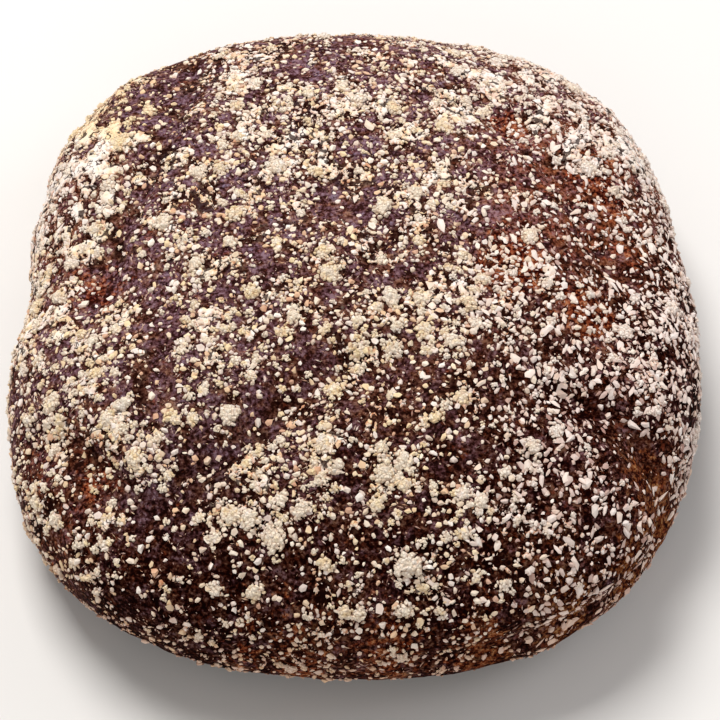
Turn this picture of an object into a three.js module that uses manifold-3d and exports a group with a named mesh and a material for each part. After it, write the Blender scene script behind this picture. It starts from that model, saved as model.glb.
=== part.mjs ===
// Barley flatbread: a low, square-shouldered hearth loaf, one solid piece of bread.
// Millimetres, +Z up, +Y towards the back of the loaf.
// The origin is on the surface that the loaf stands on, at the middle of its footprint.
import * as THREE from "three";
import { ImprovedNoise } from "three/addons/math/ImprovedNoise.js";
import { mergeVertices } from "three/addons/utils/BufferGeometryUtils.js";
import Module from "manifold-3d";

// Driving dimensions of the loaf.
const WIDTH = 218;
const DEPTH = 234;
const HEIGHT = 72;
const GIRTH_HEIGHT = 26; // height of the widest line round the loaf
const BASE_SHARE = 0.88; // how much of the girth the flat base keeps
const SHOULDER_POWER = 2.4; // 2 is a round shoulder, more is a squarer one
const CORNER_POWER = 2.1; // 2 is a round plan, more is a squarer one
const BACK_TAPER = 0.066; // share of the width lost at the back edge, gained at the front
const FACETS = 20; // edge divisions of the sphere that the skin is drawn from
const BASE_SNAP = 0.6; // a corner this close to the base plane is set on it
const MERGE_DISTANCE = 1e-5; // corners of the unit sphere closer than this are one corner
const CREASE_STEPS = 3; // points along a crease for each of its widths

// Four swellings make the plan square, and one dent gives it a waist on the left.
// Each is at a heading in degrees from +X, spread over some degrees, as a share of the girth.
const PLAN_SWELLS = {
  backRightCorner: { heading: 45, spread: 24, share: 0.09 },
  backLeftCorner: { heading: 135, spread: 24, share: 0.105 },
  frontLeftCorner: { heading: 225, spread: 24, share: 0.055 },
  frontRightCorner: { heading: 315, spread: 24, share: 0.04 },
  leftWaist: { heading: 176, spread: 11, share: -0.035 },
};

// Creases in the skin. Each runs through places given as a heading and a rise,
// both in degrees, seen from the middle of the loaf at girth height.
const CREASES = {
  backRightCrease: {
    width: 8,
    depth: 3.4,
    path: [[56, 52], [38, 52], [22, 49], [6, 46], [-8, 45], [-22, 50]],
  },
  rightSideCrease: {
    width: 7,
    depth: 4.2,
    path: [[-38, 55], [-31, 43], [-31, 32], [-33, 20], [-36, 9]],
  },
  frontLeftCrease: {
    width: 8.5,
    depth: 3.2,
    path: [[292, 72], [262, 70], [248, 63], [242, 56], [237, 47], [232, 40]],
  },
  backLeftCrease: {
    width: 8,
    depth: 3,
    path: [[124, 36], [137, 48], [150, 51], [161, 49], [173, 45], [188, 46]],
  },
  leftSideCrease: {
    width: 7,
    depth: 2.8,
    path: [[204, 22], [212, 34], [221, 37], [231, 33]],
  },
  frontUndercut: {
    width: 6.5,
    depth: 2.2,
    path: [[281, -1], [294, 3], [308, 4], [320, 4], [331, 8]],
  },
};

// Lobes of risen dough and shallow hollows between them, placed in the same way.
const LOBES = {
  backRightShoulder: { at: [34, 36], reach: 24, rise: 2.8 },
  backLeftShoulder: { at: [152, 36], reach: 24, rise: 2.6 },
  rightShoulder: { at: [-16, 36], reach: 22, rise: 2.6 },
  frontRightBulge: { at: [-50, 26], reach: 26, rise: 2.8 },
  frontMiddleLobe: { at: [260, 53], reach: 23, rise: 2.4 },
  leftShoulder: { at: [205, 42], reach: 20, rise: 2.4 },
  frontLeftBulge: { at: [237, 18], reach: 24, rise: 1.8 },
  backEdgeSwelling: { at: [88, 30], reach: 30, rise: 1.6 },
  crownHollow: { at: [120, 76], reach: 26, rise: -1.4 },
  rightCrownHollow: { at: [2, 64], reach: 17, rise: -1.6 },
  leftCrownHollow: { at: [184, 48], reach: 12, rise: -2.2 },
  frontLeftHollow: { at: [224, 36], reach: 10, rise: -2 },
  rightGirthSwelling: { at: [8, 4], reach: 15, rise: 1.2 },
  backRightGirthSwelling: { at: [68, 8], reach: 18, rise: 1.3 },
  backLeftGirthSwelling: { at: [118, 7], reach: 17, rise: 1.4 },
  leftGirthHollow: { at: [154, 6], reach: 17, rise: -1.5 },
  frontLeftGirthHollow: { at: [229, -4], reach: 20, rise: -1.2 },
  frontRightFoot: { at: [300, -6], reach: 20, rise: 1.4 },
  rightGirthHollow: { at: [327, -5], reach: 13, rise: -1.3 },
};

// Uneven rise of the dough, from broad waves down to thumb-sized lumps.
const SWELLS = [
  { size: 52, rise: 1.2 },
  { size: 24, rise: 1.2 },
  { size: 13, rise: 0.6 },
];

const CRUST = { color: 0x3a2320, roughness: 0.62, metalness: 0 };

const degrees = THREE.MathUtils.degToRad;
const noise = new ImprovedNoise();

// A share from 1 at the middle of a bump down to nothing a few spreads away.
function bell(distance, spread) {
  return Math.exp(-((distance / spread) ** 2));
}

// How much further out than the plain plan the girth lies at a heading in degrees.
function planSwell(heading) {
  let swell = 1;
  for (const { heading: middle, spread, share } of Object.values(PLAN_SWELLS)) {
    const turn = THREE.MathUtils.euclideanModulo(heading - middle + 180, 360) - 180;
    swell += share * bell(turn, spread);
  }
  return swell;
}

// Half height of the form under the girth, before the base is cut off flat.
function hiddenDepth() {
  const cutShare = (1 - BASE_SHARE ** SHOULDER_POWER) ** (1 / SHOULDER_POWER);
  return GIRTH_HEIGHT / cutShare;
}

// The plain cushion: where the ray in a direction from the middle of the loaf meets it.
function cushionPoint(direction) {
  const { x, y, z } = direction;
  const across = Math.abs(x) ** CORNER_POWER + Math.abs(y) ** CORNER_POWER;
  const size =
    across ** (SHOULDER_POWER / CORNER_POWER) + Math.abs(z) ** SHOULDER_POWER;
  const reach = size ** (-1 / SHOULDER_POWER);
  const swell = planSwell(THREE.MathUtils.radToDeg(Math.atan2(y, x)));
  const taper = 1 - BACK_TAPER * y * reach;
  const halfHeight = z > 0 ? HEIGHT - GIRTH_HEIGHT : hiddenDepth();
  return new THREE.Vector3(
    (x * reach * taper * swell * WIDTH) / 2,
    (y * reach * swell * DEPTH) / 2,
    z * reach * halfHeight,
  );
}

// A place on the cushion from a heading and a rise in degrees.
function place([heading, rise]) {
  const level = Math.cos(degrees(rise));
  return cushionPoint(
    new THREE.Vector3(
      level * Math.cos(degrees(heading)),
      level * Math.sin(degrees(heading)),
      Math.sin(degrees(rise)),
    ),
  );
}

// Each crease becomes a row of closely spaced points along a smooth curve.
const creaseLines = Object.values(CREASES).map(({ path, width, depth }) => {
  const curve = new THREE.CatmullRomCurve3(path.map(place));
  const steps = Math.ceil((CREASE_STEPS * curve.getLength()) / width);
  return { width, depth, points: curve.getSpacedPoints(steps) };
});

const lobeBumps = Object.values(LOBES).map(({ at, reach, rise }) => ({
  middle: place(at),
  reach,
  rise,
}));

// How far the skin stands out from the cushion at a point, in millimetres.
function relief(point) {
  let height = 0;
  for (const { size, rise } of SWELLS) {
    height += rise * noise.noise(point.x / size, point.y / size, point.z / size);
  }
  for (const { middle, reach, rise } of lobeBumps) {
    height += rise * bell(point.distanceTo(middle), reach);
  }
  for (const { width, depth, points } of creaseLines) {
    const away = Math.min(...points.map((spot) => spot.distanceTo(point)));
    height -= depth * bell(away, width);
  }
  return height;
}

// The skin leans out like an ellipsoid of the loaf's own proportions.
function outward(point) {
  const halfHeight = point.z > 0 ? HEIGHT - GIRTH_HEIGHT : hiddenDepth();
  return new THREE.Vector3(
    point.x / (WIDTH / 2) ** 2,
    point.y / (DEPTH / 2) ** 2,
    point.z / halfHeight ** 2,
  ).normalize();
}

// The skin of the loaf as a closed surface that still hangs below the base plane.
function skinGeometry() {
  const sphere = new THREE.IcosahedronGeometry(1, FACETS);
  sphere.deleteAttribute("normal");
  sphere.deleteAttribute("uv");
  const skin = mergeVertices(sphere, MERGE_DISTANCE);
  const position = skin.getAttribute("position");
  const direction = new THREE.Vector3();
  for (let i = 0; i < position.count; i++) {
    direction.fromBufferAttribute(position, i).normalize();
    const point = cushionPoint(direction);
    point.addScaledVector(outward(point), relief(point));
    point.z += GIRTH_HEIGHT;
    if (Math.abs(point.z) < BASE_SNAP) point.z = 0;
    position.setXYZ(i, point.x, point.y, point.z);
  }
  return skin;
}

// Cuts off what hangs below the base plane, and gives the rest back as a geometry.
function cutFlat(geometry, wasm) {
  const whole = new wasm.Manifold(
    new wasm.Mesh({
      numProp: 3,
      vertProperties: geometry.getAttribute("position").array,
      triVerts: new Uint32Array(geometry.index.array),
    }),
  );
  const { vertProperties, triVerts } = whole.trimByPlane([0, 0, 1], 0).getMesh();
  return new THREE.BufferGeometry()
    .setAttribute("position", new THREE.BufferAttribute(vertProperties, 3))
    .setIndex(new THREE.BufferAttribute(triVerts, 1));
}

// Sets the loaf down with its base at z = 0 and the middle of its footprint at the origin.
function centre(geometry) {
  geometry.computeBoundingBox();
  const middle = geometry.boundingBox.getCenter(new THREE.Vector3());
  return geometry.translate(-middle.x, -middle.y, -geometry.boundingBox.min.z);
}

const wasm = await Module();
wasm.setup();

const loafGeometry = centre(cutFlat(skinGeometry(), wasm));
loafGeometry.computeVertexNormals();

const loaf = new THREE.Mesh(loafGeometry, new THREE.MeshStandardMaterial(CRUST));
loaf.name = "loaf";

const barleyFlatbread = new THREE.Group();
barleyFlatbread.add(loaf);

export default barleyFlatbread;
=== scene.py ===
import math
from itertools import product

import bmesh
import bpy
import numpy as np
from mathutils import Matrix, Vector
from mathutils.bvhtree import BVHTree


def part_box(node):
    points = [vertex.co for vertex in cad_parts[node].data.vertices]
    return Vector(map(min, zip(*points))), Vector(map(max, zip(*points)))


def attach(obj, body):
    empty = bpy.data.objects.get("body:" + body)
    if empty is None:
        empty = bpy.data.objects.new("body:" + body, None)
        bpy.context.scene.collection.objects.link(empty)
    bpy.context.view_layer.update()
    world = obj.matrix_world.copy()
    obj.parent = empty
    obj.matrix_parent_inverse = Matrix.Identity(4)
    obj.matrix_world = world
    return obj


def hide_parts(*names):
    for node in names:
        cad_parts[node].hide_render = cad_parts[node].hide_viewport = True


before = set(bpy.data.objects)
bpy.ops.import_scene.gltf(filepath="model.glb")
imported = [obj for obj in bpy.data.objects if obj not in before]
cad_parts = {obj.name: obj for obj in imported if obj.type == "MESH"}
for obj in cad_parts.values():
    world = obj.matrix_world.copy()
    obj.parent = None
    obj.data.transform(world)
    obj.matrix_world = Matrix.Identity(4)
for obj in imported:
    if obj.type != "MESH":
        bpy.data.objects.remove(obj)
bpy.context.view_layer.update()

# Shapes are worked out in millimetres and go into Blender in metres.
perMetre = 1000
rng = np.random.default_rng(23)

low, high = (np.array(corner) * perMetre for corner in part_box("loaf"))
halfWidth, halfDepth = (high[:2] - low[:2]) / 2
loafHeight = high[2]
heartShare = 0.36  # of the height
heart = np.array([0, 0, heartShare * loafHeight])  # headings and rises are seen from here
offFloor = 0.05  # the meal keeps this far above the floor

studio = {
    "aim": (0.014, -0.081, 0.41),  # shares of half width, half depth and height
    "rise": 56,
    "distance": 0.9,
    "lens": 141.95,
    "farthest": 20,
    "floorSize": 8,
    "floorTone": (0.8, 0.795, 0.785),
    "floorRough": 0.9,
    "airTone": (1.0, 0.955, 0.92),
    "air": 0.3,
    # where each lamp is, its size in metres, its watts and its tone
    "lamps": {
        "skylight": ((-0.4, 0.75, 1.55), 0.8, 30, (1, 0.97, 0.94)),
        "sideCard": ((1.3, 0.35, 0.75), 0.8, 5, (0.95, 0.96, 1)),
        "frontCard": ((-0.2, -1.3, 0.8), 0.9, 4, (1, 0.97, 0.94)),
    },
}


def buildStudio():
    scene = bpy.context.scene
    scene.view_settings.view_transform = "Standard"
    aim = Vector(np.array(studio["aim"]) * (halfWidth, halfDepth, loafHeight) / perMetre)
    rise = math.radians(studio["rise"])
    camera = bpy.data.objects.new("camera", bpy.data.cameras.new("camera"))
    camera.data.lens = studio["lens"]
    camera.data.clip_end = studio["farthest"]
    camera.location = aim + studio["distance"] * Vector((0, -math.cos(rise), math.sin(rise)))
    camera.rotation_euler = (math.pi / 2 - rise, 0, 0)
    scene.collection.objects.link(camera)
    scene.camera = camera

    for name, (place, size, watts, tone) in studio["lamps"].items():
        light = bpy.data.lights.new(name, "AREA")
        light.size = size
        light.energy = watts
        light.color = tone
        holder = bpy.data.objects.new(name, light)
        holder.location = place
        holder.rotation_euler = (-Vector(place)).to_track_quat("-Z", "Y").to_euler()
        scene.collection.objects.link(holder)

    world = bpy.data.worlds.new("air")
    world.use_nodes = True
    air = world.node_tree.nodes["Background"].inputs
    air["Color"].default_value = (*studio["airTone"], 1)
    air["Strength"].default_value = studio["air"]
    scene.world = world

    bpy.ops.mesh.primitive_plane_add(size=studio["floorSize"])
    floor = bpy.context.object
    floor.name = "floor"
    paint = bpy.data.materials.new("floorPaint")
    paint.use_nodes = True
    coat = paint.node_tree.nodes["Principled BSDF"].inputs
    coat["Base Color"].default_value = (*studio["floorTone"], 1)
    coat["Roughness"].default_value = studio["floorRough"]
    floor.data.materials.append(paint)
    print("studio ready")


def randomAt(corner, seed):
    # A repeatable number from 0 to 1 for each lattice corner. Large odd numbers stir the bits.
    x, y, z = (corner[..., k].astype(np.int64) for k in range(3))
    mixed = (x * 73856093) ^ (y * 19349663) ^ (z * 83492791) ^ (seed * 2654435761)
    mixed = ((mixed ^ (mixed >> 13)) * 1274126177) & 0x7FFFFFFF
    mixed = ((mixed ^ (mixed >> 15)) * 1103515245) & 0x7FFFFFFF
    return (mixed ^ (mixed >> 11)) / 0x7FFFFFFF


def waves(points, size, seed):  # smooth noise from -1 to 1, with lumps about this size
    place = points / size
    corner = np.floor(place)
    part = place - corner
    part = part * part * (3 - 2 * part)
    total = 0
    for step in product((0, 1), repeat=3):
        share = np.prod(np.where(step, part, 1 - part), axis=-1)
        total = total + share * randomAt(corner + step, seed)
    return 2 * total - 1


def dotsNear(points, size, seed):  # the scattered dots near each point, and how many sizes away
    place = points / size
    corner = np.floor(place)
    for step in product((-1, 0, 1), repeat=3):
        home = corner + step
        dot = home + np.stack([randomAt(home, seed + k) for k in range(3)], -1)
        yield home, length(dot - place)


def nearestDot(points, size, seed):  # the distance to it, in sizes
    return np.min([away for _, away in dotsNear(points, size, seed)], axis=0)


def ease(value, start, end):  # 0 before start, 1 after end, smooth between
    part = np.clip((value - start) / (end - start), 0, 1)
    return part * part * (3 - 2 * part)


def bell(distance, reach):
    return np.exp(-((distance / reach) ** 2))


def length(vectors):
    return np.linalg.norm(vectors, axis=-1)


def unit(vectors):
    return vectors / length(vectors)[:, None]


def bend(points, amount, size, seed):  # points carried off by waves
    return points + amount * np.stack([waves(points, size, seed + k) for k in range(3)], 1)


def evenly(profile, count):  # the same line with evenly spaced points
    run = np.concatenate([[0], np.cumsum(length(np.diff(profile, axis=0)))])
    at = np.linspace(0, run[-1], count)
    return np.stack([np.interp(at, run, profile[:, k]) for k in range(3)], 1)


formGrid = {
    "headings": 288,
    "rises": 361,
    "wallRows": 301,
    "soleRows": 81,
    "rim": 0.02,  # the skin lower than this is the sole
    "widens": (0.6, 0.85),  # shares down the wall between which a mesh's gap grows
    "soleGrowth": 1.25,  # of the gap, from ring to ring of the sole
    "mapRadius": 0.498,
}


def readForm():
    headings = formGrid["headings"]
    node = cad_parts["loaf"]
    corners = [vertex.co * perMetre for vertex in node.data.vertices]
    tree = BVHTree.FromPolygons(corners, [list(face.vertices) for face in node.data.polygons])
    rises = np.radians(np.linspace(90, -90, formGrid["rises"]))
    level = np.cos(rises)
    wall, sole = [], []
    for heading in np.radians(np.arange(headings) * 360 / headings):
        rays = np.stack([level * np.cos(heading), level * np.sin(heading), np.sin(rises)], 1)
        profile = np.array([tree.ray_cast(Vector(heart), Vector(ray))[0] for ray in rays])
        rim = int(np.argmax(profile[:, 2] < formGrid["rim"]))
        wall.append(evenly(profile[: rim + 1], formGrid["wallRows"]))
        sole.append(evenly(profile[rim:], formGrid["soleRows"]))
    print("form read")
    return {"wall": np.stack(wall, 1), "sole": np.stack(sole, 1)}


def onPart(part, share, turn):  # points at these shares down the part and turns round the loaf
    rows, columns = part.shape[:2]
    row = np.clip(np.asarray(share, float) * (rows - 1), 0, rows - 1.001)  # just short of the last row
    column = (np.asarray(turn, float) % 1) * columns
    r, c = row.astype(int), column.astype(int) % columns
    down, along = (row - r)[..., None], (column - np.floor(column))[..., None]
    upper = part[r, c] * (1 - along) + part[r, (c + 1) % columns] * along
    lower = part[r + 1, c] * (1 - along) + part[r + 1, (c + 1) % columns] * along
    return upper * (1 - down) + lower * down


def seenAt(heading, rise):
    # The skin's point at a heading and a rise in degrees on a ball stretched to the loaf.
    heading, rise = math.radians(heading), math.radians(rise)
    x = halfWidth * math.cos(rise) * math.cos(heading)
    y = halfDepth * math.cos(rise) * math.sin(heading)
    z = (loafHeight - heart[2]) * math.sin(rise)
    columns = form["wall"].shape[1]
    column = form["wall"][:, round(math.atan2(y, x) / (2 * math.pi) * columns) % columns]
    offset = column - heart
    rises = np.arctan2(offset[:, 2], np.hypot(offset[:, 0], offset[:, 1]))
    return column[np.argmin(np.abs(rises - math.atan2(z, math.hypot(x, y))))]


def stitch(upper, lower):  # triangles between two rings, both starting at the same heading
    if len(upper) == 1:
        return np.stack([lower, np.roll(lower, -1), np.repeat(upper, len(lower))], 1)
    if len(lower) == 1:
        return np.stack([upper, np.repeat(lower, len(upper)), np.roll(upper, -1)], 1)
    apex = np.round((np.arange(len(upper)) + 0.5) * len(lower) / len(upper)).astype(int)
    back = np.searchsorted(apex, np.arange(len(lower)), side="right") % len(upper)
    down = np.stack([upper, lower[apex % len(lower)], np.roll(upper, -1)], 1)
    return np.concatenate([down, np.stack([lower, np.roll(lower, -1), upper[back]], 1)])


def ringMesh(gap, wallGap=None, soleGap=None):  # rings of points from the crown down
    lengths = {part: length(np.diff(form[part], axis=0)).sum(0).mean() for part in form}
    levels, share, step = [("wall", 0, gap)], 0, gap
    while share < 1:
        step = gap + ((wallGap or gap) - gap) * ease(share, *formGrid["widens"])
        share = min(share + step / lengths["wall"], 1)
        levels.append(("wall", share, step))
    share = 0 if soleGap else 1
    while share < 1:
        step = min(step * formGrid["soleGrowth"], soleGap)
        share = min(share + step / lengths["sole"], 1)
        levels.append(("sole", share, step))
    points, shares, turns, faces, before = [], [], [], [], None
    count = 0
    headings = np.arange(formGrid["headings"]) / formGrid["headings"]
    for part, share, step in levels:
        loop = onPart(form[part], np.full(len(headings), share), headings)
        around = length(loop - np.roll(loop, 1, axis=0)).sum()
        number = 1 if around < step else max(6, round(around / step))
        turn = np.arange(number) / number
        points.append(onPart(form[part], np.full(number, share), turn))
        shares.append(np.full(number, share + (part == "sole")))
        turns.append(turn)
        ring = count + np.arange(number)
        count += number
        if before is not None:
            faces.append(stitch(before, ring))
        before = ring
    points, shares, turns = (np.concatenate(lists) for lists in (points, shares, turns))
    out = formGrid["mapRadius"] * np.minimum(shares, 1)
    flat = 0.5 + out[:, None] * np.stack([np.cos(2 * np.pi * turns), np.sin(2 * np.pi * turns)], 1)
    return {"points": points, "shares": shares, "flat": flat, "faces": np.concatenate(faces)}


def relax(points, faces, rounds, pull=0.6):  # moves each point towards the middle of its neighbours
    start = faces.ravel()
    end = np.roll(faces, -1, axis=1).ravel()
    share = np.bincount(start, minlength=len(points))[:, None]
    for _ in range(rounds):
        middle = np.stack([np.bincount(start, points[end, k], len(points)) for k in range(3)], 1)
        points = points + pull * (middle / share - points)
    return points


def normalsOf(points, faces):
    a, b, c = (points[faces[:, k]] for k in range(3))
    lean = np.cross(b - a, c - a)
    total = np.zeros_like(points)
    for k, axis in product(range(3), repeat=2):
        total[:, axis] += np.bincount(faces[:, k], lean[:, axis], len(points))
    return unit(total)


# Places on the loaf are in hundredths of its half width and half depth, seen from above.
# x, y, reach and the share of the crust that the meal hides
mealZones = [
    (0, 17, 34, 0.38), (0, 66, 32, 0.47), (-38, 76, 22, 0.26), (8, 96, 28, 0.33), (-78, 51, 26, 1.04),
    (69, 64, 28, 0.85), (-85, -4, 24, 0.56), (-46, 0, 28, 0.28), (57, 4, 24, 0.28), (90, 8, 22, 0.22),
    (82, -30, 22, 0.17), (0, -46, 28, 0.12), (55, -64, 30, 0.08), (-55, -72, 26, 0.18), (0, -86, 28, 0.17),
    (-82, -56, 20, 0.25),
]

# x, y, reach and strength of the islands of meal, and of the bare places
mealIslands = [
    (-41, 61, 7, 0.95), (-18, 58, 8, 0.25), (-5, 60, 7, 0.55), (6, 61, 7, 0.85), (-24, 55, 6, 0.5),
    (26, 54, 8, 0.4), (37, 50, 6, 0.3), (-38, 42, 9, 0.45), (-26, 45, 6, 0.2), (14, 45, 6, 0.5),
    (-18, 34, 9, 0.4), (-16, 24, 7, 0.65), (-28, 22, 5, 0.3), (22, 18, 7, 0.45), (23, 29, 7, 0.35),
    (18, 36, 6, 0.6), (-55, 15, 7, 0.4), (-46, 1, 8, 0.45), (-9, 2, 7, 0.55), (-41, -14, 8, 0.7),
    (-19, -10, 5, 0.4), (-18, -17, 5, 0.6), (-32, -23, 8, 0.1), (-34, -34, 8, 0.4), (-45, -29, 6, 0.8),
    (5, -23, 7, 0.3), (0, -31, 6, 0.25), (12, -19, 5, 0.1), (27, -25, 7, 0.6), (37, -14, 8, 0.55),
    (32, -7, 7, 0.4), (21, -10, 6, 0.3), (53, 2, 4, 0.65), (75, -17, 8, 0.2), (73, -25, 7, 0.1),
    (87, -24, 8, 0.05), (84, -36, 8, 0.3), (90, -4, 8, 0.2), (55, -49, 6, 0.05), (54, -34, 6, 0.3),
    (32, -42, 5, 0.3), (19, -47, 5, 0.2), (9, -38, 4, 0.15), (-13, -42, 7, 0.3), (-10, -57, 8, 0.4),
    (-24, -58, 6, 0.6), (-43, -47, 5, 0.1), (-57, -47, 7, 0.1), (-60, -55, 6, 0.3), (-69, -45, 6, 0.35),
    (-80, -37, 6, 0.5), (-88, -37, 5, 0.45), (-69, -17, 6, 0.4), (-69, -30, 6, 0.9), (-84, -2, 8, 0.5),
    (-87, -17, 8, 0.2), (-83, -47, 5, 0.3), (-87, -58, 6, 0.4), (-69, -68, 5, 0.6), (-41, -76, 5, 0.25),
    (-26, -75, 6, 0.4), (-11, -69, 6, 0.65), (5, -68, 6, 0.4), (14, -62, 5, 0.25), (15, -85, 6, 0.45),
    (27, -78, 6, 0.3), (32, -68, 5, 0.35), (48, -62, 6, 0.15), (55, -72, 7, 0.05), (67, -60, 7, 0.15),
    (42, -73, 5, 0.25), (43, -50, 5, 0.25), (-54, -60, 5, 0.4), (-32, -88, 5, 0.35), (0, -90, 4, 0.15),
    (-36, 76, 8, 0.45), (68, 43, 10, 0.4), (60, 70, 10, 0.35), (-86, 27, 8, 0.7), (-84, 17, 7, 0.5),
]
mealBare = [
    (-51, 82, 11, 0.8), (-48, 96, 12, 0.8), (-52, 64, 9, 0.7), (-55, 50, 7, 0.45), (-64, 58, 6, 0.6),
    (-57, 42, 6, 0.1), (-17, 72, 9, 0.5), (-7, 46, 5, 0.15), (0, 87, 7, 0.6), (42, 49, 6, 0.3),
    (46, 40, 7, 0.4), (37, 37, 6, 0.4), (52, 34, 7, 0.4), (60, 30, 6, 0.4), (-60, -82, 7, 0.4),
    (-35, -82, 4, 0.6), (57, 20, 7, 0.05), (60, 7, 8, 0.35), (63, -10, 8, 0.2), (38, 17, 6, 0.3),
    (76, 8, 8, 0.65), (72, 24, 6, 0.25), (73, -5, 6, 0.3), (68, -28, 6, 0.3), (69, -38, 8, 0.2),
    (78, -49, 9, 0.7), (86, -57, 9, 0.7), (0, 19, 7, 0.8), (-8, 14, 6, 0.4), (-24, 12, 6, 0.7),
    (-38, 13, 6, 0.2), (-69, 6, 7, 0.4), (-74, -4, 5, 0.7), (-57, -4, 5, 0.5), (-55, -18, 4, 0.35),
    (-55, -33, 6, 0.6), (-10, -10, 6, 0.65), (-10, -25, 5, 0.05), (10, -3, 5, 0.6), (-23, -41, 5, 0.5),
    (-35, -44, 5, 0.2), (-34, -53, 5, 0.35), (18, -34, 6, 0.35), (44, -36, 6, 0.5), (41, -43, 5, 0.15),
    (0, -49, 5, 0.3), (27, -55, 5, 0.2), (0, -66, 6, 0.8), (-50, -72, 8, 0.25), (-55, -62, 6, 0.05),
    (-79, -67, 7, 0.6), (-10, -82, 7, 0.1), (32, -86, 7, 0.2), (17, -74, 4, 0.6),
]

# x, y, reach, how pink the meal is there, from -1 straw over 0 cream to 1 pinkish white, and how
# dull its smaller grains are
mealBlush = [
    (0, 20, 34, 0.1, 0), (0, 80, 40, 0.3, 0), (-74, 58, 13, -0.5, 0), (-68, 70, 12, -0.2, 0),
    (-90, 36, 16, 0.7, 0), (70, 65, 32, 0.7, 0), (-85, -5, 26, 0.2, 0.2), (-50, 0, 26, 0.05, 0.1),
    (60, 5, 30, 0.6, 0.3), (95, 0, 22, 1, 0.1), (70, -50, 30, 0.75, 1), (0, -50, 30, 0, 0.3),
    (-50, -60, 30, 0.1, 0.6), (0, -88, 26, 0.2, 0.6),
]

# x, y, reach, how tightly the meal gathers there, from 0 strewn to 1 in clumps, and how much of it
# is baked together into flat cakes
mealClumps = [
    (0, 20, 34, 0.3, 0.5), (0, 75, 40, 0.45, 0.6), (-80, 50, 30, 0.9, 0.85), (70, 65, 32, 0.8, 0.85),
    (-85, -5, 26, 0.7, 0.6), (-50, 0, 26, 0.6, 0.5), (60, 5, 30, 0.15, 0.15), (92, -4, 22, 0.35, 0.3),
    (70, -50, 30, 0.3, 0.08), (0, -50, 30, 0.65, 0.2), (-50, -60, 30, 0.9, 0.2), (0, -88, 26, 0.8, 0.3),
]


def seenFlat(points):  # x and y in hundredths of half width and half depth
    return points[:, :2] / (halfWidth, halfDepth) * 100


def nearTo(flat, x, y, reach):  # 1 at a place, and almost 0 from twice the reach
    return bell(np.hypot(flat[:, 0] - x, flat[:, 1] - y), reach)


def drift(points, zones):  # a weighted mean of the amounts that the zones give
    flat = seenFlat(points)
    weight, total = 1e-6, 0
    for x, y, reach, *amounts in zones:
        here = nearTo(flat, x, y, reach)
        weight, total = weight + here, total + here[:, None] * np.array(amounts)
    return (total / weight[:, None]).T


coverShape = {
    # how strongly these places act, how far past their reach, and the cover they lead to
    "islands": (1.25, 1, 1),
    "bare": (1.2, 1.15, 0),
    "most": 0.9,  # that one place can do
    "patches": [(7, 1, 45), (3.8, 0.7, 46)],  # size, height, seed
    "gathering": (1.1, 1.9, 0.3),  # how far clumps sharpen the places and patches and bare the crust
    "footShare": 0.45,  # of the meal, on the foot of the wall
    "wall": (14, 34),  # heights between which it thins
}


def mealCover(points, normals):  # the share of the crust that the meal hides at each point
    look, flat = coverShape, seenFlat(points)
    zone = drift(points, mealZones)[0]
    cover = zone.copy()
    for places, (gain, wider, goal) in ((mealIslands, look["islands"]), (mealBare, look["bare"])):
        for x, y, reach, strength in places:
            much = min(gain * strength, look["most"]) * nearTo(flat, x, y, reach * wider)
            cover = cover + much * (goal - cover)
    clump, cakes = drift(points, mealClumps)
    apart = clump * (1 - 0.8 * cakes)  # how far the meal draws together and leaves bare crust
    patchy = sum(height * waves(points, size, seed) for size, height, seed in look["patches"])
    sharper, patchier, barer = look["gathering"]
    cover = zone * (cover / zone) ** (1 + sharper * apart) * np.exp(patchier * apart * patchy)
    cover *= 1 - barer * apart
    wallShare = look["footShare"] + (1 - look["footShare"]) * ease(points[:, 2], *look["wall"])
    return np.clip(cover * wallShare * ease(normals[:, 2], -0.75, -0.1), 0.01, 0.95)


def mealLieAt(points, normals):
    # The cover, the gathering, the share of the crust under cakes and how deep in a cake a point is.
    cover = mealCover(points, normals)
    clump, cakes = drift(points, mealClumps)
    caked = cover * cakes
    pattern = (0.25 + 0.75 * clump) * waves(points, 9, 40)
    pattern += (1.05 - 0.4 * cakes) * waves(points, 4.6, 41)
    pattern += (0.6 - 0.35 * cakes) * waves(points, 2.6, 42)
    depth = 1 / (1 + np.exp(-4.3 * pattern)) - (1 - caked)  # the pattern made even from 0 to 1
    return cover, clump, caked, depth


crustShape = {
    "gap": 1.2,
    "soleGap": 4,
    "relaxed": 5,  # rounds
    "sunk": 0.7,  # room that the meal takes inside the solid's outline
    "waves": [(15, 0.5, 3), (7, 0.38, 5), (3.4, 0.2, 7)],  # size, height, seed
    "blisterSize": 6,
    "blisterHeight": 0.55,
    "wander": 1.6,  # of the creases from their paths
    "lineSteps": (9, 40),  # few to round a path's corners, then many to cut along it
    # headings and rises in degrees along each crease, with its width and depth
    "creases": {
        "backRight": (3.2, 1.1, [(56, 52), (38, 52), (22, 49), (6, 46), (-8, 45), (-22, 50)]),
        "rightSide": (3.4, 1.8, [(-38, 55), (-31, 43), (-31, 32), (-33, 20), (-36, 9)]),
        "frontLeft": (3.2, 1.1, [(292, 72), (262, 70), (248, 63), (242, 56), (237, 47), (232, 40)]),
        "backLeft": (3.4, 1.1, [(124, 36), (137, 48), (150, 51), (161, 49), (173, 45), (188, 46)]),
        "leftSide": (2.8, 1.3, [(204, 22), (212, 34), (221, 37), (231, 33)]),
        "frontUndercut": (3, 1.3, [(281, -1), (294, 3), (308, 4), (320, 4), (331, 8)]),
    },
}


def creaseLines():
    lines = []
    for width, depth, path in crustShape["creases"].values():
        line = np.array([seenAt(*place) for place in path])
        for count in crustShape["lineSteps"]:
            line = evenly(line, count)
        lines.append((width, depth, line))
    return lines


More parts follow.
